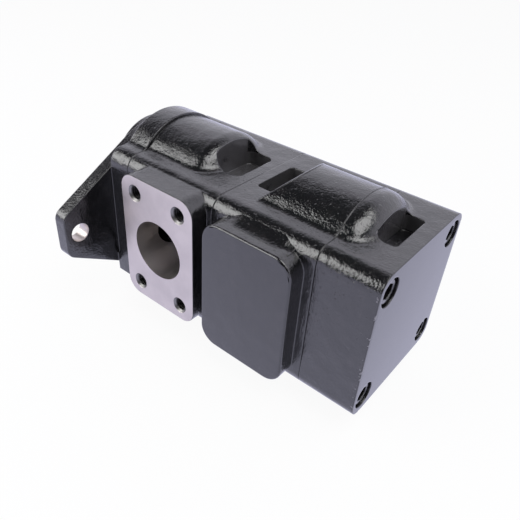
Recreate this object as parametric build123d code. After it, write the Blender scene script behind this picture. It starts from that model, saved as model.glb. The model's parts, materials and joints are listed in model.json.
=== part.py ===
"""Two-stage hydraulic gear pump with a two-bolt mounting flange, in millimetres.

The drive shaft lies on X, +X towards the rear cover and +Z up.  The origin is on the
shaft axis at the flange mounting face.  The suction port faces -Y, the outlets +Y.
"""
import math
import os

from build123d import *

# Castings: the flange face is x = 0, then come the three joints and the rear face
FLANGE_T = 11.0
JOINT_A = 30.0
JOINT_B = 115.0
JOINT_C = 198.5
REAR = 242.0
MID_Z = -27.0
HALF_W = 56.5
HALF_H = 58.0
RAIL_R = 12.0
COVER_CHAMFER = 14.0
TOP_Z = MID_Z + HALF_H

# Half-round bulges over the gear bores, one pair per stage
BARREL_R = 47.5
COVER_BARREL_R = 49.3
DOME_R = 17.0
FOOT_R = 8.0
FRONT_DOME_END = 91.0
REAR_DOME_START = 137.0
REAR_DOME_END = 219.0
POCKET_HALF_W = 20.5

# Mounting flange
PILOT_R = 38.1
PILOT_L = 8.5
EAR_TIP_Y = 103.0
EAR_TIP_HALF_Z = 17.1
FLANGE_CORE_R = 66.5
FLANGE_PEAK_Z = 76.85
EAR_HOLE_Y = 90.5
EAR_HOLE_R = 7.25

# Side pads and ports
PAD_Y = 70.0
SUCTION_X, SUCTION_Z = 75.0, -23.0
SUCTION_R = 23.0
SUCTION_DEPTH = 34.0
SUCTION_BOLTS = (42.9, 77.8)
BLANK_X, BLANK_Z = 155.0, -28.2
OUTLET_X = (62.0, 165.0)
OUTLET_R = 12.5
OUTLET_BOLTS = (26.2, 52.4)
GALLERY_Y = 38.0
SUCTION_GALLERY_R = 11.0
OUTLET_GALLERY_R = 9.0

# Gears
MODULE = 4.5
TEETH = 12
PRESSURE_ANGLE = math.radians(25)
PITCH_R = MODULE * TEETH / 2
BASE_R = PITCH_R * math.cos(PRESSURE_ANGLE)
TIP_R = 31.4
ROOT_R = 21.9
BACKLASH = 0.35
DRIVEN_Z = -2 * PITCH_R
SIDE_GAP = 0.1
JOURNAL_R = 12.5
RUNNING_GAP = 0.05

# Each stage: start of the chamber, length of a bearing block, width of the gears
CHAMBER_R = 31.6
BLOCK_R = 31.5
BLOCK_L = 16.0
BUSH_R = 14.5
FRONT_STAGE = (14.0, 24.0)
REAR_STAGE = (153.7, 19.0)

# Shaft line
SHAFT_END = -33.0
SHAFT_R = 11.1
KEY_W, KEY_L, KEYWAY_DEPTH = 6.35, 22.0, 3.3
KEYWAY_TURN = 37.5
SEAL_R = 20.0
SPLINES = 12
SPLINE_ROOT_R = 8.6
SPLINE_TIP_R = 10.0
SPLINE_W = 2.2
COUPLING_R = 14.0
COUPLING_SPAN = (89.0, 139.0)
COUPLING_BORE_R = 15.0

# Fasteners
SCREW_Y = 43.5
SCREW_R = 5.95
TAPPED_R = 6.0
SCREW_HOLE_R = 6.5
HEAD_R, HEAD_H = 9.0, 12.0
COUNTERBORE_R, COUNTERBORE_DEPTH = 10.0, 14.5
DOWEL_R = 4.0
DOWEL_SPOTS = ((48.0, -8.0), (-48.0, -46.0))
JOINTS = (JOINT_A, JOINT_B, JOINT_C)


def rod(x0, x1, r, y=0.0, z=0.0):
    """Cylinder along X."""
    solid = Cylinder(r, x1 - x0, align=(Align.CENTER, Align.CENTER, Align.MIN))
    return Pos(x0, y, z) * Rot(0, 90, 0) * solid


def cross_rod(y0, y1, r, x, z):
    """Cylinder along Y."""
    solid = Cylinder(r, y1 - y0, align=(Align.CENTER, Align.CENTER, Align.MIN))
    return Pos(x, y0, z) * Rot(-90, 0, 0) * solid


def block(x0, x1, y0, y1, z0, z1):
    centre = Pos((x0 + x1) / 2, (y0 + y1) / 2, (z0 + z1) / 2)
    return centre * Box(x1 - x0, y1 - y0, z1 - z0)


def plate(sketch, x0, x1):
    """Extrude a sketch drawn in Y and Z between two stations on X."""
    return extrude(Plane.YZ.offset(x0) * sketch, x1 - x0)


def side_plate(sketch, y0, y1):
    """Extrude a sketch drawn in X and Z between two stations on Y."""
    plane = Plane((0, y1, 0), x_dir=(1, 0, 0), z_dir=(0, -1, 0))
    return extrude(plane * sketch, y1 - y0)


def both_levels(solid):
    return solid + mirror(solid, Plane.XY.offset(MID_Z))


def figure_eight(r):
    return Circle(r) + Pos(0, DRIVEN_Z) * Circle(r)


def racetrack(r):
    return Pos(0, MID_Z) * Rot(0, 0, 90) * SlotCenterToCenter(2 * PITCH_R, 2 * r)


def joint_spots():
    return [(y, MID_Z + z) for y in (-SCREW_Y, SCREW_Y) for z in (-SCREW_Y, SCREW_Y)]


# Outside form
def prism(x0, x1):
    return plate(Pos(0, MID_Z) * RectangleRounded(2 * HALF_W, 2 * HALF_H, RAIL_R), x0, x1)


def foot_edges(solid):
    """Concave edges where the bulges meet the flat top and bottom."""
    chosen = []
    for edge in solid.edges():
        box = edge.bounding_box()
        level = abs(abs(box.min.Z - MID_Z) - HALF_H) < 0.01 and box.max.Z - box.min.Z < 0.01
        inside = max(abs(box.min.Y), abs(box.max.Y)) < BARREL_R - 5
        if level and inside and box.max.X - box.min.X > 1:
            chosen.append(edge)
    return chosen


def domed_barrel(x0, x1, r):
    barrel = rod(x0, x1, r)
    rim = barrel.edges().filter_by(GeomType.CIRCLE).sort_by(Axis.X)[-1]
    return fillet(rim, DOME_R)


def pocket(x0, x1, depth, near_r):
    """Core pocket in the top, with rounder corners on one side, and its mirror below."""
    floor = Pos((x0 + x1) / 2, 0) * RectangleRounded(x1 - x0, 2 * POCKET_HALF_W, near_r)
    cut = extrude(Plane.XY.offset(TOP_Z - depth) * floor, depth + 30)
    return both_levels(cut)


def front_form():
    """Front section and the part of its bulge that fades out behind the gears."""
    barrels = both_levels(domed_barrel(JOINT_A, FRONT_DOME_END, BARREL_R))
    form = prism(JOINT_A, JOINT_B) + barrels
    form = fillet(foot_edges(form), FOOT_R)
    return form - pocket(83.0, 106.5, 10.5, 6.0)


def rear_form():
    """Rear section and end cover in one, before they are parted at the joint."""
    barrel = domed_barrel(REAR_DOME_START - 10, REAR_DOME_END, BARREL_R)
    slope = Polyline(
        (REAR_DOME_START - 20, TOP_Z - 20),
        (REAR_DOME_START + 30, TOP_Z + 30),
        (REAR_DOME_START - 20, TOP_Z + 30),
        close=True,
    )
    barrel -= extrude(Plane.XZ * make_face(slope), 80, both=True)
    form = prism(JOINT_B, REAR) + both_levels(barrel)
    form = fillet(foot_edges(form), FOOT_R)
    form -= pocket(123.5, 138.0, 12.0, 3.0)
    return form - pocket(216.0, 230.5, 12.0, 3.0)


def pad(x, z, length, height, r, y0, y1):
    return side_plate(Pos(x, z) * RectangleRounded(length, height, r), y0, y1)


# Passages
def tapped_side_hole(x, z, r, side, depth, mouth_r):
    """Blind tapped hole in a side pad with a countersunk mouth; side is -1 or +1."""
    y_end = side * (PAD_Y - depth)
    hole = cross_rod(min(y_end, side * PAD_Y), max(y_end, side * PAD_Y), r, x, z)
    mouth = Pos(x, side * (PAD_Y - (mouth_r - r) / 2), z) * Rot(-90 * side, 0, 0)
    return hole + mouth * Cone(r, mouth_r, mouth_r - r)


def bolt_grid(x, z, spacing):
    dx, dz = spacing[0] / 2, spacing[1] / 2
    return [(x + sx * dx, z + sz * dz) for sx in (-1, 1) for sz in (-1, 1)]


def outlet_cuts(x, gear_x0, gear_x1):
    """Port, gallery and window from one pair of gears to the far side."""
    bore = cross_rod(GALLERY_Y, PAD_Y, OUTLET_R, x, MID_Z)
    near = min(gear_x0 + 2, x - 4)
    far = max(gear_x1 - 2, x + 4)
    gallery = rod(near, far, OUTLET_GALLERY_R, GALLERY_Y, MID_Z)
    window = block(gear_x0 + 2, gear_x1 - 2, 12, GALLERY_Y, MID_Z - 8, MID_Z + 8)
    cuts = bore + gallery + window
    for bx, bz in bolt_grid(x, MID_Z, OUTLET_BOLTS):
        cuts += tapped_side_hole(bx, bz, 4.25, 1, 15.0, 5.4)
    return cuts


def suction_window(gear_x0, gear_x1):
    return block(gear_x0 + 2, gear_x1 - 2, -GALLERY_Y, -12, MID_Z - 9, MID_Z + 9)


def screw_and_dowel_cuts(casting, screw_hole_r, x0, x1, joints):
    for y, z in joint_spots():
        casting -= rod(x0, x1, screw_hole_r, y, z)
    for joint in joints:
        for y, z in DOWEL_SPOTS:
            casting -= rod(joint - 8.2, joint + 8.2, DOWEL_R, y, z)
    return casting


def seal_groove(joint):
    """Racetrack groove in the cover side of a joint; depth runs away from the joint."""
    return plate(racetrack(37.0) - racetrack(34.4), *joint)


# Castings
def flange_plate():
    outline = Polyline(
        (-EAR_TIP_Y, -EAR_TIP_HALF_Z),
        (-EAR_TIP_Y, EAR_TIP_HALF_Z),
        (0, FLANGE_PEAK_Z),
        (EAR_TIP_Y, EAR_TIP_HALF_Z),
        (EAR_TIP_Y, -EAR_TIP_HALF_Z),
        (0, -FLANGE_PEAK_Z),
        close=True,
    )
    face = make_face(outline)
    corners = face.vertices()
    face = fillet(corners.filter_by(lambda v: abs(v.X) < 1), FLANGE_CORE_R - 0.5)
    face = fillet(face.vertices().filter_by(lambda v: abs(v.X) > EAR_TIP_Y - 1), 9.0)
    return plate(Pos(0, MID_Z) * face, 0, FLANGE_T)


def front_cover():
    body = prism(FLANGE_T, JOINT_A)
    for side in (-1, 1):
        wedge = Polyline(
            (side * (HALF_W + 9), 9 + COVER_CHAMFER - HALF_H),
            (side * (HALF_W + 9), -9 - HALF_H),
            (side * (HALF_W - 9 - COVER_CHAMFER), -9 - HALF_H),
            close=True,
        )
        body -= plate(Pos(0, MID_Z) * make_face(wedge), FLANGE_T, JOINT_A)
    body += both_levels(rod(FLANGE_T, JOINT_A, COVER_BARREL_R))
    body = fillet(foot_edges(body), FOOT_R)
    lug = Polyline((FLANGE_T, -78), (JOINT_A, -78), (JOINT_A, -39), (24, -39), (15.5, -47.5),
                   (15.5, -58), (FLANGE_T, -62), close=True)
    for y in (-1, 1):
        edge = y * (HALF_W + 1.5)
        body += side_plate(make_face(lug), min(edge, y * 50), max(edge, y * 50))
    body += flange_plate() + rod(-PILOT_L, 0, PILOT_R)
    pilot_rim = body.edges().filter_by(GeomType.CIRCLE).sort_by(Axis.X)[0]
    body = chamfer(pilot_rim, 1.2)
    for y in (-EAR_HOLE_Y, EAR_HOLE_Y):
        body -= rod(0, FLANGE_T, EAR_HOLE_R, y, MID_Z)
    body -= plate(figure_eight(CHAMBER_R), FRONT_STAGE[0], JOINT_A)
    body -= rod(-PILOT_L, 4.5, SEAL_R) + rod(4.5, 14, 13.0) + rod(10, 14, 13.0, 0, DRIVEN_Z)
    body -= rod(-6.4, -5.0, SEAL_R + 1.0)
    body -= seal_groove((JOINT_A - 2.2, JOINT_A))
    return screw_and_dowel_cuts(body, TAPPED_R, 12, JOINT_A, (JOINT_A,))


def front_section():
    gear_x0 = FRONT_STAGE[0] + BLOCK_L + 2 * SIDE_GAP
    gear_x1 = gear_x0 + FRONT_STAGE[1]
    body = front_form()
    body += pad(SUCTION_X, SUCTION_Z, 71, 104, 12, -PAD_Y, -45)
    body += pad(OUTLET_X[0], MID_Z, 54, 78, 10, 45, PAD_Y)
    body -= plate(figure_eight(CHAMBER_R), JOINT_A, gear_x1 + BLOCK_L + SIDE_GAP)
    body -= rod(60, 90, 13.0) + rod(88, JOINT_B, COUPLING_BORE_R)
    body -= cross_rod(-PAD_Y, SUCTION_DEPTH - PAD_Y, SUCTION_R, SUCTION_X, SUCTION_Z)
    for x, z in bolt_grid(SUCTION_X, SUCTION_Z, SUCTION_BOLTS):
        body -= tapped_side_hole(x, z, 5.1, -1, 18.0, 6.65)
    body -= rod(gear_x0 + 3, JOINT_B, SUCTION_GALLERY_R, -GALLERY_Y, MID_Z)
    body -= suction_window(gear_x0, gear_x1)
    body -= outlet_cuts(OUTLET_X[0], gear_x0, gear_x1)
    for r, y, z in ((SUCTION_GALLERY_R, -GALLERY_Y, MID_Z), (COUPLING_BORE_R, 0, 0)):
        ring = Circle(r + 3.4) - Circle(r + 1.0)
        body -= plate(Pos(y, z) * ring, JOINT_B - 1.8, JOINT_B)
    return screw_and_dowel_cuts(body, SCREW_HOLE_R, JOINT_A, JOINT_B, (JOINT_A, JOINT_B))


def rear_section(form):
    gear_x0 = REAR_STAGE[0] + BLOCK_L + 2 * SIDE_GAP
    gear_x1 = gear_x0 + REAR_STAGE[1]
    body = form & block(JOINT_B, JOINT_C, -60, 60, -120, 60)
    blank = pad(BLANK_X, BLANK_Z, 73, 103, 14, -PAD_Y, -45)
    rim = blank.faces().sort_by(Axis.Y)[0].edges()
    body += chamfer(rim, 1.0)
    body += pad(OUTLET_X[1], MID_Z, 54, 78, 10, 45, PAD_Y)
    body -= plate(figure_eight(CHAMBER_R), REAR_STAGE[0], JOINT_C)
    body -= rod(JOINT_B, 142, COUPLING_BORE_R) + rod(142, REAR_STAGE[0], 13.0)
    body -= rod(JOINT_B, gear_x1 - 3, SUCTION_GALLERY_R, -GALLERY_Y, MID_Z)
    body -= suction_window(gear_x0, gear_x1)
    body -= outlet_cuts(OUTLET_X[1], gear_x0, gear_x1)
    return screw_and_dowel_cuts(body, SCREW_HOLE_R, JOINT_B, JOINT_C, (JOINT_B, JOINT_C))


def end_cover(form):
    chamber_end = REAR_STAGE[0] + 2 * BLOCK_L + REAR_STAGE[1] + 3 * SIDE_GAP
    body = form & block(JOINT_C, REAR, -60, 60, -120, 60)
    body -= plate(figure_eight(CHAMBER_R), JOINT_C, chamber_end)
    for z in (0, DRIVEN_Z):
        body -= rod(chamber_end, chamber_end + 3, 13.0, 0, z)
    body -= seal_groove((JOINT_C, JOINT_C + 2.2))
    for y, z in joint_spots():
        body -= rod(REAR - COUNTERBORE_DEPTH, REAR, COUNTERBORE_R, y, z)
    return screw_and_dowel_cuts(body, SCREW_HOLE_R, JOINT_C, REAR, (JOINT_C,))


# Gears
def involute_point(r, turn):
    """Point on the involute that leaves the base circle at the angle turn."""
    roll = math.acos(BASE_R / r)
    angle = turn + math.tan(roll) - roll
    return r * math.cos(angle), r * math.sin(angle)


def gear_face():
    """Twelve involute teeth, with radial flanks below the base circle."""
    flank_turn = math.tan(PRESSURE_ANGLE) - PRESSURE_ANGLE
    half_pitch = (math.pi * MODULE / 2 - BACKLASH) / 2 / PITCH_R
    start = -(half_pitch + flank_turn)
    right = [involute_point(r, start) for r in (BASE_R + 0.001, (BASE_R + TIP_R) / 2, TIP_R)]
    left = [(x, -y) for x, y in reversed(right)]
    root = (ROOT_R * math.cos(start), ROOT_R * math.sin(start))
    inner = (ROOT_R - 4) * math.cos(start), (ROOT_R - 4) * math.sin(start)
    tooth = Line(inner, right[0]) + ThreePointArc(*right)
    tooth += ThreePointArc(right[2], (TIP_R, 0), left[0]) + ThreePointArc(*left)
    tooth += Line(left[2], (inner[0], -inner[1])) + Line((inner[0], -inner[1]), inner)
    tooth = make_face(tooth)
    return Circle(math.hypot(*root)) + [Rot(0, 0, k * 360 / TEETH) * tooth for k in range(TEETH)]


def gear(x0, width, z, turn):
    return plate(Pos(0, z) * Rot(0, 0, turn) * gear_face(), x0, x0 + width)


def spline_face(root_r, tip_r, width):
    key = Pos(tip_r / 2, 0) * Rectangle(tip_r, width)
    keys = [Rot(0, 0, k * 360 / SPLINES) * key for k in range(SPLINES)]
    return (Circle(root_r) + keys) & Circle(tip_r)


def chamfered_rod(x0, x1, r, size):
    solid = rod(x0, x1, r)
    return chamfer(solid.edges().filter_by(GeomType.CIRCLE).sort_by(Axis.X)[0], size)


def drive_shaft():
    gear_x0 = FRONT_STAGE[0] + BLOCK_L + 2 * SIDE_GAP
    gear_x1 = gear_x0 + FRONT_STAGE[1]
    shaft = chamfered_rod(SHAFT_END, -4, SHAFT_R, 1.5)
    shaft += chamfered_rod(-4, gear_x0, JOURNAL_R, 1.0)
    shaft += gear(gear_x0, FRONT_STAGE[1], 0, 0)
    shaft += rod(gear_x1, 74, JOURNAL_R)
    shaft += plate(spline_face(SPLINE_ROOT_R, SPLINE_TIP_R, SPLINE_W), 74, 112)
    return shaft - keyway()


def keyway():
    """Closed keyway in the upper part of the shaft, with half-round ends."""
    slot = Pos(SHAFT_END + 3 + KEY_L / 2, 0) * SlotOverall(KEY_L, KEY_W)
    cutter = extrude(Plane.XY.offset(SHAFT_R - KEYWAY_DEPTH) * slot, SHAFT_R)
    return Rot(KEYWAY_TURN, 0, 0) * cutter


def rear_drive_gear():
    gear_x0 = REAR_STAGE[0] + BLOCK_L + 2 * SIDE_GAP
    gear_x1 = gear_x0 + REAR_STAGE[1]
    shaft = plate(spline_face(SPLINE_ROOT_R, SPLINE_TIP_R, SPLINE_W), 117, 144)
    shaft += rod(144, gear_x0, JOURNAL_R)
    shaft += gear(gear_x0, REAR_STAGE[1], 0, 0)
    return shaft + rod(gear_x1, gear_x1 + BLOCK_L, JOURNAL_R)


def driven_gear(stage):
    gear_x0 = stage[0] + BLOCK_L + 2 * SIDE_GAP
    gear_x1 = gear_x0 + stage[1]
    shaft = rod(gear_x0 - BLOCK_L, gear_x0, JOURNAL_R, 0, DRIVEN_Z)
    shaft += gear(gear_x0, stage[1], DRIVEN_Z, 180 / TEETH)
    return shaft + rod(gear_x1, gear_x1 + BLOCK_L, JOURNAL_R, 0, DRIVEN_Z)


def shaft_coupling():
    x0, x1 = COUPLING_SPAN
    sleeve = rod(x0, x1, COUPLING_R)
    rims = sleeve.edges().filter_by(GeomType.CIRCLE)
    sleeve = chamfer(rims, 0.8)
    bore = spline_face(SPLINE_ROOT_R + 0.08, SPLINE_TIP_R + 0.08, SPLINE_W + 0.16)
    return sleeve - plate(bore, x0, x1)


# Bearing blocks
def load_seal_face():
    return figure_eight(BLOCK_R - 2.4) - figure_eight(BLOCK_R - 4.8)


def bearing_block(x0, x1, gear_side):
    """Figure-eight block; gear_side is +1 when the gears are behind it."""
    body = plate(figure_eight(BLOCK_R), x0, x1)
    for z in (0, DRIVEN_Z):
        body -= rod(x0, x1, BUSH_R, 0, z)
    outer = x0 if gear_side > 0 else x1 - 1.5
    inner = x1 - 1.2 if gear_side > 0 else x0
    body -= plate(load_seal_face(), outer, outer + 1.5)
    for y in (-7.5, 7.5):
        relief = Pos(y, MID_Z) * RectangleRounded(5.0, 9.0, 2.0)
        body -= plate(relief, inner, inner + 1.2)
    return body


def load_seal(x0, x1, gear_side):
    outer = x0 if gear_side > 0 else x1 - 1.5
    return plate(load_seal_face(), outer, outer + 1.5)


def bushes(x0, x1):
    ring = Circle(BUSH_R) - Circle(JOURNAL_R + RUNNING_GAP)
    return Compound([plate(Pos(0, z) * ring, x0, x1) for z in (0, DRIVEN_Z)])


def block_spans(stage):
    """Front and rear block of a stage; each rests on an end wall of the chamber."""
    x0, width = stage
    front = (x0, x0 + BLOCK_L + SIDE_GAP)
    rear = (front[1] + width + 2 * SIDE_GAP, front[1] + width + 2 * SIDE_GAP + BLOCK_L)
    return front, rear


# Seals and fasteners
def shaft_seal():
    """Lip seal: outer case, web and a lip that runs on the shaft."""
    profile = Polyline((-4.8, SEAL_R), (4.2, SEAL_R), (4.2, 18.2), (-3.0, 18.2), (-3.0, 14.6),
                       (2.2, JOURNAL_R + 1.6), (2.2, JOURNAL_R + RUNNING_GAP),
                       (0.6, JOURNAL_R + RUNNING_GAP), (-4.8, 14.2), close=True)
    face = make_face(profile)
    return revolve(Plane.XY * face, Axis.X)


def retaining_ring():
    """Internal circlip with its gap and two eared ends at the bottom."""
    ring = Circle(SEAL_R + 0.8) - Circle(SEAL_R - 1.8)
    ring -= Pos(0, -SEAL_R) * Rectangle(7.0, 8.0)
    for y in (-5.4, 5.4):
        eye = Pos(y, 3.0 - SEAL_R) * (Circle(2.4) - Circle(1.0))
        ring += eye
    return plate(ring, -6.3, -5.1)


def joint_seal(joint):
    return plate(racetrack(36.9) - racetrack(34.5), *joint)


def centre_joint_seals():
    rings = []
    for r, y, z in ((SUCTION_GALLERY_R, -GALLERY_Y, MID_Z), (COUPLING_BORE_R, 0, 0)):
        ring = Circle(r + 3.3) - Circle(r + 1.1)
        rings.append(plate(Pos(y, z) * ring, JOINT_B - 1.8, JOINT_B))
    return Compound(rings)


def dowels():
    pins = []
    for joint in JOINTS:
        for y, z in DOWEL_SPOTS:
            pin = rod(joint - 8, joint + 8, DOWEL_R, y, z)
            rims = pin.edges().filter_by(GeomType.CIRCLE)
            pins.append(chamfer(rims, 0.6))
    return Compound(pins)


def cap_screw(y, z):
    seat = REAR - COUNTERBORE_DEPTH
    head = rod(seat, seat + HEAD_H, HEAD_R, y, z)
    top = head.edges().filter_by(GeomType.CIRCLE).sort_by(Axis.X)[-1]
    head = chamfer(top, 1.0)
    socket = Pos(y, z) * Rot(0, 0, 30) * RegularPolygon(5.0, 6, major_radius=False)
    head -= plate(socket, seat + HEAD_H - 6.5, seat + HEAD_H)
    return head + rod(14, seat, SCREW_R, y, z)


def cap_screws():
    return Compound([cap_screw(y, z) for y, z in joint_spots()])


def all_nodes():
    form = rear_form()
    nodes = {
        "front_cover": front_cover(),
        "front_section": front_section(),
        "rear_section": rear_section(form),
        "end_cover": end_cover(form),
        "drive_shaft": drive_shaft(),
        "shaft_seal": shaft_seal(),
        "seal_retaining_ring": retaining_ring(),
        "shaft_coupling": shaft_coupling(),
        "front_driven_gear": driven_gear(FRONT_STAGE),
        "rear_drive_gear": rear_drive_gear(),
        "rear_driven_gear": driven_gear(REAR_STAGE),
        "front_joint_seal": joint_seal((JOINT_A - 2.2, JOINT_A)),
        "centre_joint_seals": centre_joint_seals(),
        "rear_joint_seal": joint_seal((JOINT_C, JOINT_C + 2.2)),
        "joint_dowels": dowels(),
        "cap_screws": cap_screws(),
    }
    for stage_name, stage in (("front_stage", FRONT_STAGE), ("rear_stage", REAR_STAGE)):
        for end_name, span, side in zip(("front", "rear"), block_spans(stage), (1, -1)):
            name = f"{stage_name}_{end_name}"
            nodes[f"{name}_block"] = bearing_block(*span, side)
            nodes[f"{name}_bushes"] = bushes(*span)
            nodes[f"{name}_load_seal"] = load_seal(*span, side)
    return nodes


os.makedirs("parts", exist_ok=True)
for node, shape in all_nodes().items():
    export_step(shape, f"parts/{node}.step")
    print(node, round(shape.volume / 1000, 1), "cm3", len(shape.solids()), "solids")
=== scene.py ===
# Tandem hydraulic gear pump: finishes, threads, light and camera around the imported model.
import json
from math import radians

import bmesh
import bpy
from mathutils import Matrix, Vector

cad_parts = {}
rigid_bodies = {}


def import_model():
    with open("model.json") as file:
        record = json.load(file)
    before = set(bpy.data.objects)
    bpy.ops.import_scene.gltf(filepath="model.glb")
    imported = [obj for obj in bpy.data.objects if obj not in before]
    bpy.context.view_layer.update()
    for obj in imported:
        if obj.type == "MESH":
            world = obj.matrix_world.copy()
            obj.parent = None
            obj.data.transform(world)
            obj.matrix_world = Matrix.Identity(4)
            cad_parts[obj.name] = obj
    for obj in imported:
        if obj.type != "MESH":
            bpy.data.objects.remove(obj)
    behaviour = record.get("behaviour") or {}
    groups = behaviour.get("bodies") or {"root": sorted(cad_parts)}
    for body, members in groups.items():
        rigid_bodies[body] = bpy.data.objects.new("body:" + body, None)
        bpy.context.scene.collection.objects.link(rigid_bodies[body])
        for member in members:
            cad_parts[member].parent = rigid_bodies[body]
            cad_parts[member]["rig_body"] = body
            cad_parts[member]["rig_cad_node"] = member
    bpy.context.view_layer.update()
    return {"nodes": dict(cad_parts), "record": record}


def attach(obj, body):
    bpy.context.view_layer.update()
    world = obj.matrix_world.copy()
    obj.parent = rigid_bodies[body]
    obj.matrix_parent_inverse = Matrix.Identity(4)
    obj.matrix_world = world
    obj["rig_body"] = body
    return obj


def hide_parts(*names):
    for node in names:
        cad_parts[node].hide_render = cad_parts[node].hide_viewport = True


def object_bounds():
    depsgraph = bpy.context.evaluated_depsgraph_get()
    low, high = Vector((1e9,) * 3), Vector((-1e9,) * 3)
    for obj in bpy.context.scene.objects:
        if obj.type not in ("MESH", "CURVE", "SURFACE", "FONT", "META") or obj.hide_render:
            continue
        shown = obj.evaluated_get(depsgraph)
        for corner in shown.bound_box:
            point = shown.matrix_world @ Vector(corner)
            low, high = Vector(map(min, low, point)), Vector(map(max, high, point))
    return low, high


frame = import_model()
nodes = frame["nodes"]
print("frame loaded:", len(nodes), "nodes")

# camera: where it stands, where it looks, and the way its right side points
cameraView = {
    "place": (0.32714, -0.28508, 0.20702),
    "forward": (-0.48413, 0.65395, -0.58135),
    "right": (0.77340, 0.63055, 0.06522),
    "lens": 37.77,
    "sensor": 36.0,
}


def addCamera():
    forward = Vector(cameraView["forward"]).normalized()
    right = Vector(cameraView["right"]).normalized()
    up = right.cross(forward).normalized()
    data = bpy.data.cameras.new("pumpCamera")
    data.lens = cameraView["lens"]
    data.sensor_width = cameraView["sensor"]
    data.clip_start = 0.01
    camera = bpy.data.objects.new("pumpCamera", data)
    bpy.context.scene.collection.objects.link(camera)
    turn = Matrix((right, up, -forward)).transposed()
    camera.matrix_world = Matrix.Translation(cameraView["place"]) @ turn.to_4x4()
    bpy.context.scene.camera = camera


addCamera()


# a socket that can be used in plain arithmetic
class Wire:
    def __init__(self, finish, made, out):
        self.finish = finish
        self.made = made
        self.socket = made.outputs[out]

    def also(self, out):
        return Wire(self.finish, self.made, out)

    def math(self, operation, first, second=0.0):
        return self.finish.node("ShaderNodeMath", {"operation": operation}, {0: first, 1: second})

    def __add__(self, other):
        return self.math("ADD", self, other)

    __radd__ = __add__

    def __sub__(self, other):
        return self.math("SUBTRACT", self, other)

    def __rsub__(self, other):
        return self.math("SUBTRACT", other, self)

    def __mul__(self, other):
        return self.math("MULTIPLY", self, other)

    __rmul__ = __mul__

    def __pow__(self, other):
        return self.math("POWER", self, other)

    def above(self, limit):
        return self.math("GREATER_THAN", self, limit)

    def below(self, limit):
        return self.math("LESS_THAN", self, limit)

    def most(self, other):
        return self.math("MAXIMUM", self, other)

    def least(self, other):
        return self.math("MINIMUM", self, other)

    def size(self):
        return self.math("ABSOLUTE", self)

    def between(self, low, high):
        return self.above(low) * self.below(high)

    # 0 at low, 1 at high, smooth in between
    def ease(self, low, high):
        return self.finish.node(
            "ShaderNodeMapRange",
            {"interpolation_type": "SMOOTHSTEP", "clamp": True},
            {"Value": self, "From Min": low, "From Max": high, "To Min": 0.0, "To Max": 1.0},
        )


# one node tree: a material's or the world's
class Finish:
    def __init__(self, name, owner=None):
        self.owner = owner or bpy.data.materials.new(name)
        self.owner.use_nodes = True
        self.tree = self.owner.node_tree
        self.tree.nodes.clear()

    def node(self, kind, settings=None, inputs=None, out=0):
        made = self.tree.nodes.new(kind)
        for name, value in (settings or {}).items():
            setattr(made, name, value)
        for name, value in (inputs or {}).items():
            socket = made.inputs[name]
            if isinstance(value, Wire):
                self.tree.links.new(value.socket, socket)
            else:
                socket.default_value = value
        return Wire(self, made, out) if len(made.outputs) else made

    def place(self):
        return self.node("ShaderNodeTexCoord", out="Object")

    def axes(self, vector):
        x = self.node("ShaderNodeSeparateXYZ", {}, {0: vector}, out="X")
        return x, x.also("Y"), x.also("Z")

    def noise(self, vector, scale, detail=2.0, roughness=0.5, distortion=0.0):
        return self.node(
            "ShaderNodeTexNoise",
            {},
            {
                "Vector": vector, "Scale": scale, "Detail": detail,
                "Roughness": roughness, "Distortion": distortion,
            },
            out="Fac",
        )

    def stretch(self, vector, scale):
        return self.node("ShaderNodeMapping", {}, {"Vector": vector, "Scale": scale})

    def mixColour(self, factor, first, second):
        return self.node(
            "ShaderNodeMix",
            {"data_type": "RGBA"},
            {"Factor": factor, 6: first, 7: second},
            out=2,
        )

    def mixValue(self, factor, first, second):
        return first + (second - first) * factor

    def bump(self, height, distance, strength=1.0, normal=None):
        inputs = {"Height": height, "Distance": distance, "Strength": strength}
        if normal:
            inputs["Normal"] = normal
        return self.node("ShaderNodeBump", {}, inputs)

    def softEdge(self, radius):
        return self.node("ShaderNodeBevel", {"samples": 8}, {"Radius": radius})

    def shader(self, inputs):
        surface = self.node("ShaderNodeBsdfPrincipled", {}, inputs)
        self.node("ShaderNodeOutputMaterial", {}, {"Surface": surface})
        return self.owner


# gloss black paint over a sand-cast skin, with machined faces left bare
castPaint = {
    "paint": (0.0075, 0.0075, 0.0085, 1.0),
    "thinPaint": (0.014, 0.013, 0.014, 1.0),
    # the pockets' rough overspray, painted a lighter grey as a painted sheen
    "dullAndSheen": (0.062, 0.060, 0.063, 1.0),
    "ior": 1.8,
    "gloss": 0.03,
    "glossSpread": 0.07,
    "dullSpread": 0.12,
    "wearScale": 140.0,
    "wearRange": (0.45, 0.75),
    "dullScale": 90.0,
    "dullRange": (0.05, 0.45),
}

# the relief of the skin: the scale of each noise, and its depth in metres
castSkin = {
    "edge": 0.0011,
    "swellScale": 55.0,
    "swell": 0.0010,
    "peelScale": 640.0,
    "peelTwist": 0.2,
    "peel": 0.00024,
    "grainScale": 1400.0,
    "grain": 0.00008,
    "pitScale": 520.0,
    "pitRange": (0.70, 0.78),
    "pit": 0.00016,
    "streakScale": 900.0,
    "streakStretch": (0.12, 1.0, 1.0),
    "streak": 0.00004,
    "calmShare": 0.96,
    "pocketShare": 0.72,
    "millimetre": 0.001,
    "perMetre": 1000.0,
}
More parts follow.
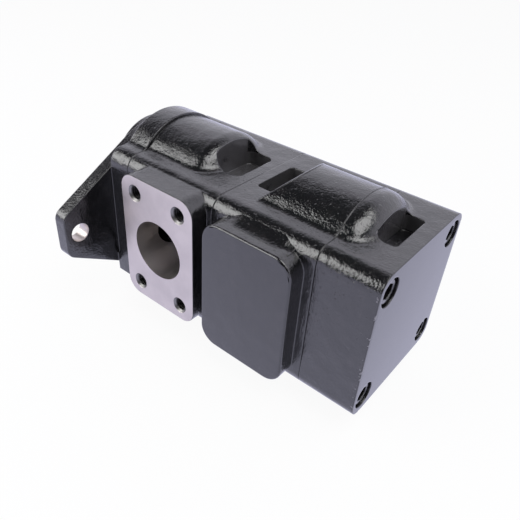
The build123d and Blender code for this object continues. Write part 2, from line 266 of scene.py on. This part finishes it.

# bare cast iron where it is milled, tapped or bored; inside the tapped holes it is painted darker,
# a painted shade
bareIron = {
    "milled": (0.62, 0.565, 0.54, 1.0),
    "milledDark": (0.42, 0.385, 0.375, 1.0),
    "tapped": (0.24, 0.235, 0.23, 1.0),
    "bored": (0.60, 0.57, 0.55, 1.0),
    "blotchScale": 48.0,
    "blotchRange": (0.35, 0.7),
    "blotchShare": 0.35,
    "markScale": 1500.0,
    "markStretch": (1.0, 1.0, 0.05),
    "markDepth": 0.00006,
    "markStrength": 0.6,
    "rough": 0.30,
    "roughSpread": 0.22,
    "boreReach": 0.026,
    "deepY": 0.06985,
    "behindFlange": 0.03,
}


# the pockets beside the bulges, where the paint lies dull and is painted a lighter grey as a
# painted sheen: their spans along x, their levels from mid height, and the two end walls that stand
# up into a bulge
pockets = {
    "spans": ((0.0828, 0.1067), (0.1233, 0.1375), (0.2158, 0.2307)),
    "walls": ((0.0825, 0.0835), (0.2155, 0.2165)),
    "halfWidth": 0.0207,
    "midDrop": 0.027,
    "floor": 0.0470,
    "mouth": 0.0578,
    "wallTop": 0.0795,
}


def pocketMask(x, y, z):
    depth = (z + pockets["midDrop"]).size()
    inside = y.size().below(pockets["halfWidth"])
    inside = inside * depth.between(pockets["floor"], pockets["wallTop"])
    along = x.between(*pockets["spans"][0])
    for span in pockets["spans"][1:]:
        along = along.most(x.between(*span))
    low = depth.below(pockets["mouth"])
    for wall in pockets["walls"]:
        low = low.most(x.between(*wall))
    return inside * along * low


# bareMask gives 1 where the metal is bare, and calmMask 1 where the skin is flat;
# both take the finish and the three axes
def castingFinish(name, bareMask=None, calmMask=None):
    skin = castSkin
    finish = Finish(name)
    place = finish.place()
    x, y, z = finish.axes(place)
    swell = finish.noise(place, skin["swellScale"], 2.0, 0.5)
    peel = finish.noise(place, skin["peelScale"], 2.0, 0.5, skin["peelTwist"])
    grain = finish.noise(place, skin["grainScale"], 2.0, 0.6)
    pits = finish.noise(place, skin["pitScale"], 1.0, 0.5).ease(*skin["pitRange"])
    stretched = finish.stretch(place, skin["streakStretch"])
    streak = finish.noise(stretched, skin["streakScale"], 2.0, 0.6)
    lively = 1.0 - calmMask(finish, x, y, z) * skin["calmShare"] if calmMask else 1.0
    pocket = pocketMask(x, y, z)
    lively = lively * (1.0 - pocket * skin["pocketShare"])
    rest = finish.softEdge(skin["edge"])
    low = finish.bump(swell * lively, skin["swell"], 1.0, rest)
    relief = peel * skin["peel"] + grain * skin["grain"]
    relief = relief - pits * skin["pit"] + streak * skin["streak"]
    cast = finish.bump(relief * skin["perMetre"] * lively, skin["millimetre"], 1.0, low)
    wear = finish.noise(place, castPaint["wearScale"], 3.0, 0.6)
    worn = wear.ease(*castPaint["wearRange"])
    colour = finish.mixColour(worn, castPaint["paint"], castPaint["thinPaint"])
    rough = castPaint["gloss"] + wear * castPaint["glossSpread"]
    # in the pockets the paint turns rough and is painted a lighter grey: a painted sheen over the
    # dull overspray
    patches = finish.noise(place, castPaint["dullScale"], 2.0, 0.5)
    dullAndSheen = pocket * patches.ease(*castPaint["dullRange"])
    colour = finish.mixColour(dullAndSheen, colour, castPaint["dullAndSheen"])
    rough = rough + dullAndSheen * castPaint["dullSpread"]
    if not bareMask:
        return finish.shader({
            "Base Color": colour, "Roughness": rough, "Normal": cast, "IOR": castPaint["ior"],
        })
    iron = bareIron
    bare = bareMask(finish, x, y, z)
    marks = finish.noise(finish.stretch(place, iron["markStretch"]), iron["markScale"], 3.0, 0.65)
    blotch = finish.noise(place, iron["blotchScale"], 3.0, 0.55).ease(*iron["blotchRange"])
    metal = finish.mixColour(blotch * iron["blotchShare"], iron["milled"], iron["milledDark"])
    # below the pad face the tapped holes are painted darker: painted shade in the holes, while the
    # bore keeps its own tone
    wide = roundMask(x, z, machined["suctionCentre"], iron["boreReach"]).most(y.above(0.0))
    deep = finish.mixColour(wide, iron["tapped"], iron["bored"])
    inHole = y.size().below(iron["deepY"]) * x.above(iron["behindFlange"])
    metal = finish.mixColour(inHole, metal, deep)
    milled = finish.bump(marks, iron["markDepth"], iron["markStrength"])
    normal = finish.node(
        "ShaderNodeMix", {"data_type": "VECTOR"}, {"Factor": bare, 4: cast, 5: milled}, out=1,
    )
    return finish.shader({
        "Base Color": finish.mixColour(bare, colour, metal),
        "Roughness": finish.mixValue(bare, rough, iron["rough"] + marks * iron["roughSpread"]),
        "Metallic": bare,
        "IOR": castPaint["ior"],
        "Normal": normal,
    })


# where the castings are machined, in metres
machined = {
    "suctionFace": -0.0699,
    "suctionCentre": (0.075, -0.023),
    "suctionBore": 0.0232,
    "suctionHoles": (0.0429, 0.0778, 0.0070),
    "outletFace": 0.0699,
    "outletCentres": ((0.062, -0.027), (0.165, -0.027)),
    "outletBore": 0.0127,
    "outletHoles": (0.0262, 0.0524, 0.0056),
    "flangeFace": 0.0003,
    "earHoles": (0.0905, -0.027, 0.0076),
    "endFace": 0.2416,
    "blankFace": -0.0695,
    "blankCalm": 0.55,
    "holeDepth": 0.0300,
    "padFrom": 0.066,
    "rimRoom": 0.001,
}


def roundMask(a, b, centre, radius):
    across = a - centre[0]
    along = b - centre[1]
    return ((across * across + along * along) ** 0.5).below(radius)


# the bore and the four bolt holes of a port; side is 1 where the port's side of the casting is
def portMask(x, z, side, centre, bore, holes):
    mask = roundMask(x, z, centre, bore)
    for across in (-1, 1):
        for level in (-1, 1):
            spot = (centre[0] + across * holes[0] / 2, centre[1] + level * holes[1] / 2)
            mask = mask.most(roundMask(x, z, spot, holes[2]))
    return mask * side


def outletMask(x, y, z, centre):
    m = machined
    return portMask(x, z, y.above(m["holeDepth"]), centre, m["outletBore"], m["outletHoles"])


def frontSectionBare(finish, x, y, z):
    m = machined
    near = y.below(-m["holeDepth"])
    suction = portMask(x, z, near, m["suctionCentre"], m["suctionBore"], m["suctionHoles"])
    faces = y.below(m["suctionFace"]).most(y.above(m["outletFace"]))
    return faces.most(suction).most(outletMask(x, y, z, m["outletCentres"][0]))


def rearSectionBare(finish, x, y, z):
    m = machined
    return y.above(m["outletFace"]).most(outletMask(x, y, z, m["outletCentres"][1]))


def frontCoverBare(finish, x, y, z):
    m = machined
    holes = roundMask(y.size(), z, m["earHoles"][:2], m["earHoles"][2])
    return x.between(-m["flangeFace"], m["flangeFace"]).most(holes)


# small chips where the paint has left the end face's near edge
chips = {"scale": 230.0, "level": 0.64, "sideY": -0.0549, "endX": 0.2400}


def endCoverBare(finish, x, y, z):
    chipped = finish.noise(finish.place(), chips["scale"], 2.0, 0.6).above(chips["level"])
    return chipped * y.below(chips["sideY"]) * x.above(chips["endX"])


def endFaceCalm(finish, x, y, z):
    return x.above(machined["endFace"])


# the screws carry the paint without the cast relief
def screwCalm(finish, x, y, z):
    return x.above(0.0)


def blankPadCalm(finish, x, y, z):
    return y.below(machined["blankFace"]) * machined["blankCalm"]


castings = {
    "front_cover": ("frontCoverCasting", frontCoverBare, None),
    "front_section": ("frontSectionCasting", frontSectionBare, None),
    "rear_section": ("rearSectionCasting", rearSectionBare, blankPadCalm),
    "end_cover": ("endCoverCasting", endCoverBare, endFaceCalm),
}

# the castings' outer edges, rounded a little as cast and painted iron is
castEdges = {
    "width": 0.00055,
    "steps": 2,
    "sharper": 38.0,
    "smoothBelow": 34.0,
    "joints": (0.030, 0.115, 0.1985),
    "midLevel": -0.027,
    "axisDrop": 0.027,
    "rampFrom": 0.1355,
    "rampTo": 0.1395,
    "weld": 0.00002,
    "weight": 80,
    "atJoint": 0.0002,
    "jointSide": 0.053,
    "jointLevel": 0.054,
    "jointFromAxis": 0.045,
    "topLevel": 0.0579,
    "topFromAxis": 0.033,
    "outerSide": 0.0562,
    "flangeFront": 0.001,
    "earHoleRoom": 0.002,
}


def nothingSelected():
    bpy.ops.object.select_all(action="DESELECT")


# true near a port or a bolt hole, whose rims stay as they are cut
def nearPort(spot):
    if abs(spot.y) < machined["padFrom"]:
        return False
    room = machined["rimRoom"]
    centres = machined["outletCentres"] if spot.y > 0 else (machined["suctionCentre"],)
    holes = machined["outletHoles"] if spot.y > 0 else machined["suctionHoles"]
    bore = machined["outletBore"] if spot.y > 0 else machined["suctionBore"]
    for x, z in centres:
        if (spot.x - x) ** 2 + (spot.z - z) ** 2 < (bore + room) ** 2:
            return True
        across = abs(spot.x - x) - holes[0] / 2
        along = abs(spot.z - z) - holes[1] / 2
        if across ** 2 + along ** 2 < (holes[2] + room) ** 2:
            return True
    return False


# true where an edge's middle lies on the outer skin and not in a passage, chamber or seal groove
def onOuterSkin(spot):
    edges = castEdges
    level = abs(spot.z - edges["midLevel"])
    earHole = machined["earHoles"]
    fromHole = ((abs(spot.y) - earHole[0]) ** 2 + (spot.z - earHole[1]) ** 2) ** 0.5
    if spot.x < edges["flangeFront"] and fromHole < earHole[2] + edges["earHoleRoom"]:
        return False
    fromAxis = ((level - edges["axisDrop"]) ** 2 + spot.y ** 2) ** 0.5
    if min(abs(spot.x - joint) for joint in edges["joints"]) < edges["atJoint"]:
        outside = abs(spot.y) > edges["jointSide"] or level > edges["jointLevel"]
        return outside and fromAxis > edges["jointFromAxis"]
    if level > edges["topLevel"]:
        onRamp = edges["rampFrom"] < spot.x < edges["rampTo"]
        return fromAxis > edges["topFromAxis"] and not onRamp
    return abs(spot.y) > edges["outerSide"]


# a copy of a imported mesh, welded and left in edit mode with nothing selected
def weldedCopy(node, name):
    nothingSelected()
    piece = nodes[node].copy()
    piece.data = nodes[node].data.copy()
    piece.name = name
    piece.parent = None
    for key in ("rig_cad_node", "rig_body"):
        if key in piece:
            del piece[key]
    bpy.context.scene.collection.objects.link(piece)
    piece.select_set(True)
    bpy.context.view_layer.objects.active = piece
    bpy.ops.mesh.customdata_custom_splitnormals_clear()
    bpy.ops.object.mode_set(mode="EDIT")
    bpy.ops.mesh.select_mode(type="EDGE")
    bpy.ops.mesh.select_all(action="SELECT")
    bpy.ops.mesh.remove_doubles(threshold=castEdges["weld"])
    bpy.ops.mesh.select_all(action="DESELECT")
    return piece


def dressCasting(node, name):
    casting = weldedCopy(node, name)
    shape = bmesh.from_edit_mesh(casting.data)
    limit = radians(castEdges["sharper"])
    for edge in shape.edges:
        if len(edge.link_faces) != 2 or edge.calc_face_angle(0.0) < limit:
            continue
        middle = (edge.verts[0].co + edge.verts[1].co) / 2
        edge.select_set(onOuterSkin(middle) and not nearPort(middle))
    bmesh.update_edit_mesh(casting.data)
    bpy.ops.mesh.bevel(
        offset=castEdges["width"], segments=castEdges["steps"], affect="EDGES", clamp_overlap=False,
    )
    bpy.ops.object.mode_set(mode="OBJECT")
    bpy.ops.object.shade_smooth_by_angle(angle=radians(castEdges["smoothBelow"]))
    bpy.ops.object.modifier_add(type="WEIGHTED_NORMAL")
    evened = casting.modifiers[-1]
    evened.keep_sharp = True
    evened.weight = castEdges["weight"]
    bpy.ops.object.modifier_apply(modifier=evened.name)
    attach(casting, "housing")
    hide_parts(node)
    return casting


for node, (name, bareMask, calmMask) in castings.items():
    casting = dressCasting(node, name)
    paint = castingFinish(name + "Paint", bareMask, calmMask)
    for shown in (casting, nodes[node]):
        shown.data.materials.clear()
        shown.data.materials.append(paint)
    print(name, len(casting.data.polygons), "faces")
print("castings finished")

# the cast root where the blank pad's top runs up into the shoulder of the body
padRoot = {
    "from": 0.1290,
    "to": 0.1830,
    "padEdge": (-0.0628, 0.02334),
    "corner": (-0.0593, 0.02334),
    "shoulder": (-0.05114, 0.02885),
    "crease": (-0.0557, 0.0230),
    "fade": 0.20,
    "sink": 0.0005,
    "thick": 0.0008,
    "cells": (48, 14),
}


# a sheet laid on a concave curve, sinking into the crease at both ends, then given thickness
def addPadRoot():
    nothingSelected()
    cells = padRoot["cells"]
    bpy.ops.mesh.primitive_grid_add(
        x_subdivisions=cells[0], y_subdivisions=cells[1], size=1, location=(0, 0, 0),
    )
    root = bpy.context.active_object
    root.name = "blankPadRoot"
    for vert in root.data.vertices:
        along = vert.co.x + 0.5
        up = vert.co.y + 0.5
        show = min(1.0, min(along, 1.0 - along) / padRoot["fade"])
        show = show * show * (3 - 2 * show)
        bend = [c + (k - c) * show for c, k in zip(padRoot["crease"], padRoot["corner"])]
        spot = [
            (1 - up) ** 2 * a + 2 * up * (1 - up) * b + up ** 2 * c
            for a, b, c in zip(padRoot["padEdge"], bend, padRoot["shoulder"])
        ]
        sink = (1.0 - show) * padRoot["sink"]
        vert.co = (
            padRoot["from"] + (padRoot["to"] - padRoot["from"]) * along,
            spot[0] + sink * up,
            spot[1] - sink,
        )
    bpy.ops.object.mode_set(mode="EDIT")
    bpy.ops.mesh.select_all(action="SELECT")
    bpy.ops.mesh.normals_make_consistent(inside=False)
    bpy.ops.object.mode_set(mode="OBJECT")
    if root.data.polygons[0].normal.z < 0:
        root.data.flip_normals()
    bpy.ops.object.modifier_add(type="SOLIDIFY")
    wall = root.modifiers[-1]
    wall.thickness = padRoot["thick"]
    wall.offset = -1
    bpy.ops.object.modifier_apply(modifier=wall.name)
    bpy.ops.object.shade_smooth_by_angle(angle=radians(castEdges["smoothBelow"]))
    root.data.materials.append(nodes["rear_section"].data.materials[0])
    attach(root, "housing")


addPadRoot()
print("pad root laid")

# raised cast arches over the second bulge: the lip on its slanted front, the line at the joint
arches = {
    "bulgeLip": {"x": 0.1374, "radius": 0.0468, "bead": 0.0010, "lean": 1.0},
    "bulgeJointLine": {"x": 0.1985, "radius": 0.0474, "bead": 0.00045, "lean": 0.0},
}

# the part of the ring that is kept, the level it leans about, and its segments
archRing = {"keptAbove": 0.029, "leanLevel": 0.031, "round": 180, "bead": 16}


def addArch(name, arch):
    nothingSelected()
    bpy.ops.mesh.primitive_torus_add(
        major_radius=arch["radius"], minor_radius=arch["bead"],
        major_segments=archRing["round"], minor_segments=archRing["bead"],
        location=(arch["x"], 0, 0), rotation=(0, radians(90), 0),
    )
    bead = bpy.context.active_object
    bead.name = name
    bpy.ops.object.transform_apply(location=True, rotation=True, scale=True)
    bpy.ops.object.mode_set(mode="EDIT")
    bpy.ops.mesh.select_mode(type="VERT")
    bpy.ops.mesh.select_all(action="DESELECT")
    ring = bmesh.from_edit_mesh(bead.data)
    for vert in ring.verts:
        vert.select_set(vert.co.z < archRing["keptAbove"])
    bmesh.update_edit_mesh(bead.data)
    bpy.ops.mesh.delete(type="VERT")
    for vert in ring.verts:
        vert.co.x += (vert.co.z - archRing["leanLevel"]) * arch["lean"]
    bmesh.update_edit_mesh(bead.data)
    bpy.ops.mesh.select_all(action="SELECT")
    bpy.ops.mesh.fill_holes(sides=0)
    bpy.ops.mesh.normals_make_consistent(inside=False)
    bpy.ops.object.mode_set(mode="OBJECT")
    bpy.ops.object.shade_smooth_by_angle(angle=radians(castEdges["smoothBelow"]))
    bead.data.materials.append(nodes["rear_section"].data.materials[0])
    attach(bead, "housing")


for name, arch in arches.items():
    addArch(name, arch)
print("arches laid")

# metals of the parts inside, and the screws
metals = {
    # the threads are painted darker than the bare iron around them: painted shade inside the tapped
    # holes
    "shadedThread": {
        "light": (0.24, 0.235, 0.23, 1.0), "dark": (0.09, 0.085, 0.085, 1.0),
        "rough": 0.24, "metal": 1.0,
    },
    "groundSteel": {
        "light": (0.60, 0.59, 0.58, 1.0), "dark": (0.40, 0.39, 0.39, 1.0),
        "rough": 0.20, "metal": 1.0,
    },
    "blackSteel": {
        "light": (0.060, 0.060, 0.065, 1.0), "dark": (0.030, 0.030, 0.032, 1.0),
        "rough": 0.34, "metal": 1.0,
    },
    "blockAluminium": {
        "light": (0.74, 0.75, 0.77, 1.0), "dark": (0.56, 0.57, 0.59, 1.0),
        "rough": 0.32, "metal": 1.0,
    },
    "bushBronze": {
        "light": (0.64, 0.43, 0.22, 1.0), "dark": (0.42, 0.27, 0.14, 1.0),
        "rough": 0.30, "metal": 1.0,
    },
    "sealRubber": {
        "light": (0.030, 0.030, 0.031, 1.0), "dark": (0.016, 0.016, 0.017, 1.0),
        "rough": 0.52, "metal": 0.0,
    },
}

# the turning marks and blotches that all of them share
turned = {
    "ringStretch": (1.0, 0.04, 0.04),
    "ringScale": 2600.0,
    "ringRough": 0.16,
    "ringDepth": 0.00004,
    "ringStrength": 0.5,
    "blotchScale": 95.0,
    "blotchRange": (0.3, 0.75),
    "edge": 0.0003,
}


# turned parts carry fine rings round the shaft, so the streaks follow the distance along x
def metalFinish(name, look):
    finish = Finish(name)
    place = finish.place()
    stretched = finish.stretch(place, turned["ringStretch"])
    rings = finish.noise(stretched, turned["ringScale"], 2.0, 0.6)
    blotch = finish.noise(place, turned["blotchScale"], 3.0, 0.6).ease(*turned["blotchRange"])
    colour = finish.mixColour(blotch, look["light"], look["dark"])
    rest = finish.softEdge(turned["edge"])
    return finish.shader({
        "Base Color": colour,
        "Roughness": look["rough"] + rings * turned["ringRough"],
        "Metallic": look["metal"],
        "Normal": finish.bump(rings, turned["ringDepth"], turned["ringStrength"], rest),
    })


finishes = {name: metalFinish(name, look) for name, look in metals.items()}
finishes["screwPaint"] = castingFinish("screwPaint", None, screwCalm)
slotFinish = {
    "ground_steel": "groundSteel",
    "black_steel": "blackSteel",
    "block_aluminium": "blockAluminium",
    "bush_bronze": "bushBronze",
    "seal_rubber": "sealRubber",
}
for part in frame["record"]["subparts"]:
    if part["node"] not in castings:
        chosen = "screwPaint" if part["node"] == "cap_screws" else slotFinish[part["material_slot"]]
        nodes[part["node"]].data.materials.clear()
        nodes[part["node"]].data.materials.append(finishes[chosen])
print("inner parts finished")

# the cap screws, their heads standing a little nearer the end face
screwHeads = {"from": 0.2388, "rise": 0.0012}


def dressScrews():
    screws = weldedCopy("cap_screws", "capScrews")
    shape = bmesh.from_edit_mesh(screws.data)
    for vert in shape.verts:
        if vert.co.x > screwHeads["from"]:
            vert.co.x += screwHeads["rise"]
    bmesh.update_edit_mesh(screws.data)
    bpy.ops.object.mode_set(mode="OBJECT")
    bpy.ops.object.shade_smooth_by_angle(angle=radians(castEdges["smoothBelow"]))
    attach(screws, "housing")
    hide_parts("cap_screws")


dressScrews()
print("screws dressed")

# threads cut in the tapped holes
suctionThread = {
    "radius": 0.0051,
    "ridge": 0.00075,
    "pitch": 0.00175,
    "turns": 9,
    "steps": 28,
    "start": -0.0682,
}
outletThread = {
    "radius": 0.00425,
    "ridge": 0.00065,
    "pitch": 0.0015,
    "turns": 8,
    "steps": 24,
    "start": 0.0684,
}


# a three-sided ridge, wound round the hole by a screw modifier
def addThread(name, thread, x, z, direction):
    nothingSelected()
    bpy.ops.mesh.primitive_circle_add(
        vertices=3, radius=thread["ridge"], fill_type="NOTHING", location=(0, 0, 0),
    )
    ridge = bpy.context.active_object
    ridge.name = name
    bpy.ops.object.mode_set(mode="EDIT")
    bpy.ops.mesh.select_all(action="SELECT")
    bpy.ops.transform.rotate(value=radians(90), orient_axis="Z", center_override=(0, 0, 0))
    bpy.ops.transform.translate(value=(thread["radius"], 0, 0))
    bpy.ops.object.mode_set(mode="OBJECT")
    bpy.ops.object.modifier_add(type="SCREW")
    winding = ridge.modifiers[-1]
    winding.axis = "Y"
    winding.screw_offset = thread["pitch"] * direction
    winding.iterations = thread["turns"]
    winding.steps = thread["steps"]
    winding.render_steps = thread["steps"]
    winding.use_smooth_shade = True
    bpy.ops.object.modifier_apply(modifier=winding.name)
    ridge.location = (x, thread["start"], z)
    bpy.ops.object.transform_apply(location=True, rotation=True, scale=True)
    bpy.ops.object.mode_set(mode="EDIT")
    bpy.ops.mesh.select_all(action="SELECT")
    bpy.ops.mesh.normals_make_consistent(inside=False)
    bpy.ops.object.mode_set(mode="OBJECT")
    bpy.ops.object.shade_smooth_by_angle(angle=radians(castEdges["smoothBelow"]))
    ridge.data.materials.append(finishes["shadedThread"])
    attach(ridge, "housing")


for side in (-1, 1):
    for level in (-1, 1):
        tag = ("Front" if side < 0 else "Rear") + ("Low" if level < 0 else "High")
        centre = machined["suctionCentre"]
        spread = machined["suctionHoles"]
        x = centre[0] + side * spread[0] / 2
        z = centre[1] + level * spread[1] / 2
        addThread("suctionThread" + tag, suctionThread, x, z, 1)
        for count, centre in enumerate(machined["outletCentres"]):
            spread = machined["outletHoles"]
            x = centre[0] + side * spread[0] / 2
            z = centre[1] + level * spread[1] / 2
            addThread("outletThread" + str(count + 1) + tag, outletThread, x, z, -1)
print("threads cut")

# floor, soft lamps and surroundings
studio = {
    "floor": 40.0,
    "floorX": 0.1,
    "aim": (0.12, 0.0, -0.02),
    "floorColour": (0.86, 0.86, 0.88, 1.0),
    "floorGlow": 0.93,
    "skyFill": 0.045,
    "skyBack": 1.1,
    "skyTint": (0.95, 0.94, 1.05, 1.0),
    "backWay": (0.0, 0.6, -0.8),
    "backFrom": -0.62,
    "backTo": -0.20,
    "floorShine": (0.94, 0.94, 1.20, 1.0),
}
lamps = {
    "sideBox": {
        "way": (-0.57, -0.68, 0.47), "away": 1.5, "width": 1.20, "height": 1.03, "power": 15.5,
    },
    "overheadBox": {
        "way": (0.38, -0.10, 0.90), "away": 1.5, "width": 1.08, "height": 1.0, "power": 12.5,
    },
}


def addFloor():
    nothingSelected()
    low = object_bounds()[0][2]
    bpy.ops.mesh.primitive_plane_add(size=studio["floor"], location=(studio["floorX"], 0, low))
    floor = bpy.context.active_object
    floor.name = "floor"
    bpy.ops.object.transform_apply(location=True, rotation=True, scale=True)
    finish = Finish("floorFinish")
    seen = finish.node("ShaderNodeLightPath", out="Is Camera Ray")
    mirrored = seen.also("Is Glossy Ray")
    matt = finish.node("ShaderNodeBsdfDiffuse", {}, {"Color": studio["floorColour"]})
    tint = finish.mixColour(mirrored, (1, 1, 1, 1), studio["floorShine"])
    glow = finish.node("ShaderNodeEmission", {}, {"Color": tint, "Strength": 1.0})
    share = (seen + mirrored).least(1.0) * studio["floorGlow"]
    both = finish.node("ShaderNodeMixShader", {}, {0: share, 1: matt, 2: glow})
    finish.node("ShaderNodeOutputMaterial", {}, {"Surface": both})
    floor.data.materials.append(finish.owner)


def addLamp(name, lamp):
    way = Vector(lamp["way"]).normalized()
    place = Matrix.Translation(Vector(studio["aim"]) + way * lamp["away"])
    data = bpy.data.lights.new(name, "AREA")
    data.shape = "RECTANGLE"
    data.size = lamp["width"]
    data.size_y = lamp["height"]
    data.energy = lamp["power"]
    light = bpy.data.objects.new(name, data)
    bpy.context.scene.collection.objects.link(light)
    light.matrix_world = place @ way.to_track_quat("Z", "Y").to_matrix().to_4x4()


# white to the camera; a dim room with a bright wall behind for everything else
def addSurroundings():
    world = bpy.data.worlds.new("studioWorld")
    bpy.context.scene.world = world
    finish = Finish("studioWorld", world)
    way = finish.node("ShaderNodeTexCoord", out="Generated")
    back = tuple(Vector(studio["backWay"]).normalized())
    facing = finish.node(
        "ShaderNodeVectorMath", {"operation": "DOT_PRODUCT"}, {0: way, 1: back}, out="Value",
    )
    lit = facing.ease(studio["backFrom"], studio["backTo"])
    level = lit * studio["skyBack"] + studio["skyFill"]
    seen = finish.node("ShaderNodeLightPath", out="Is Camera Ray")
    strength = finish.mixValue(seen, level, 1.0)
    tint = finish.mixColour(seen, studio["skyTint"], (1, 1, 1, 1))
    sky = finish.node("ShaderNodeBackground", {}, {"Color": tint, "Strength": strength})
    finish.node("ShaderNodeOutputWorld", {}, {"Surface": sky})


addFloor()
for name, lamp in lamps.items():
    addLamp(name, lamp)
addSurroundings()
bpy.context.scene.view_settings.view_transform = "Standard"
print("studio set")
